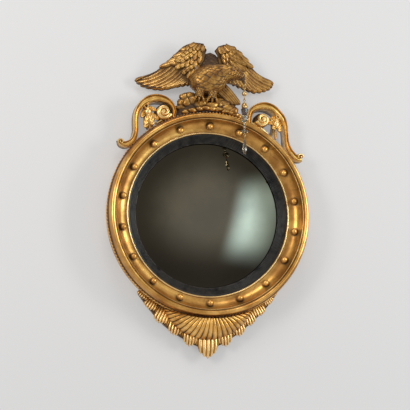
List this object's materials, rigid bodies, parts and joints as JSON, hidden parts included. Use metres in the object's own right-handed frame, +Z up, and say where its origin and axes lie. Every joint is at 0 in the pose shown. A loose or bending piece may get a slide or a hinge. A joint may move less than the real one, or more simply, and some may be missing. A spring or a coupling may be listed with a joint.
{
  "type": "girandole mirror",
  "caption": "Round convex wall mirror in a gilt ball-studded frame with a carved eagle crest, side scrolls, a leafy apron and a glass drop hanging from the beak.",
  "frame": {"origin": "the ring's axis at the wall, on the backboard's back face", "axes": "+X to the right, +Y into the wall, +Z up; the mirror faces -Y"},
  "size_m": [0.6119, 0.121, 0.9415],
  "materials": {
    "gilded_wood": "water-gilt over bole and gesso, worn, satin",
    "antique_gilding": "darkened bronze gilding over gesso, satin",
    "ebonised_wood": "black stained and polished",
    "mirror_plate": "silvered convex glass, aged",
    "softwood": "planed pine, unfinished",
    "steel": "plain steel",
    "wrought_iron": "dark iron, dull",
    "brass": "polished brass, slightly tarnished",
    "smoky_glass": "smoky glass, polished",
    "clear_glass": "clear glass, polished"
  },
  "bodies": {
    "mirror": {"frame_ring": "gilded_wood", "rope_moulding": "gilded_wood", "cavetto_balls": "gilded_wood", "ebonised_slip": "ebonised_wood", "mirror_glass": "mirror_plate", "glass_blocks": "softwood", "backboard": "softwood", "backboard_screws": "steel", "rock_base": "antique_gilding", "eagle_body": "antique_gilding", "eagle_wing_left": "antique_gilding", "eagle_wing_right": "antique_gilding", "eagle_tail": "antique_gilding", "eagle_dowels": "softwood", "leg_pins": "softwood", "scroll_left": "gilded_wood", "scroll_leaf_left": "gilded_wood", "scroll_right": "gilded_wood", "scroll_leaf_right": "gilded_wood", "apron_board": "antique_gilding", "apron_leaves": "gilded_wood", "apron_bowl": "gilded_wood", "crest_straps": "wrought_iron", "scroll_straps": "wrought_iron", "apron_straps": "wrought_iron", "strap_screws": "steel", "hanging_plate_left": "brass", "hanging_plate_right": "brass", "plate_screws": "steel", "beak_loop": "brass"},
    "link": {"hanging_link": "brass"},
    "rod": {"drop_rod": "brass", "drop_ball": "brass"},
    "stem": {"drop_stem": "brass", "bead_cap": "brass", "smoky_bead": "smoky_glass", "clear_bead": "clear_glass", "neck_bead": "clear_glass", "disc_bead": "clear_glass"},
    "drop": {"drop_hook": "brass", "spear_drop": "clear_glass"},
    "ring_left": {"hanging_ring_left": "brass"},
    "ring_right": {"hanging_ring_right": "brass"}
  },
  "joints": [
    {"name": "link_swing", "type": "hinge", "parent": "mirror", "child": "link", "pos_m": [0.0926, -0.108, 0.374], "axis": [0, 1, 0], "range_deg": [-20, 20]},
    {"name": "rod_swing", "type": "hinge", "parent": "link", "child": "rod", "pos_m": [0.0926, -0.108, 0.3677], "axis": [-1, 0, 0], "range_deg": [-1, 30]},
    {"name": "stem_swing", "type": "hinge", "parent": "rod", "child": "stem", "pos_m": [0.0926, -0.108, 0.3347], "axis": [0, 1, 0], "range_deg": [-20, 20]},
    {"name": "drop_swing", "type": "hinge", "parent": "stem", "child": "drop", "pos_m": [0.0926, -0.108, 0.2274], "axis": [-1, 0, 0], "range_deg": [-6, 20]},
    {"name": "ring_left_swing", "type": "hinge", "parent": "mirror", "child": "ring_left", "pos_m": [-0.27476, -0.005, 0.03245], "axis": [1, 0, 0], "range_deg": [0, 175]},
    {"name": "ring_right_swing", "type": "hinge", "parent": "mirror", "child": "ring_right", "pos_m": [0.27476, -0.005, 0.03245], "axis": [1, 0, 0], "range_deg": [0, 175]}
  ]
}
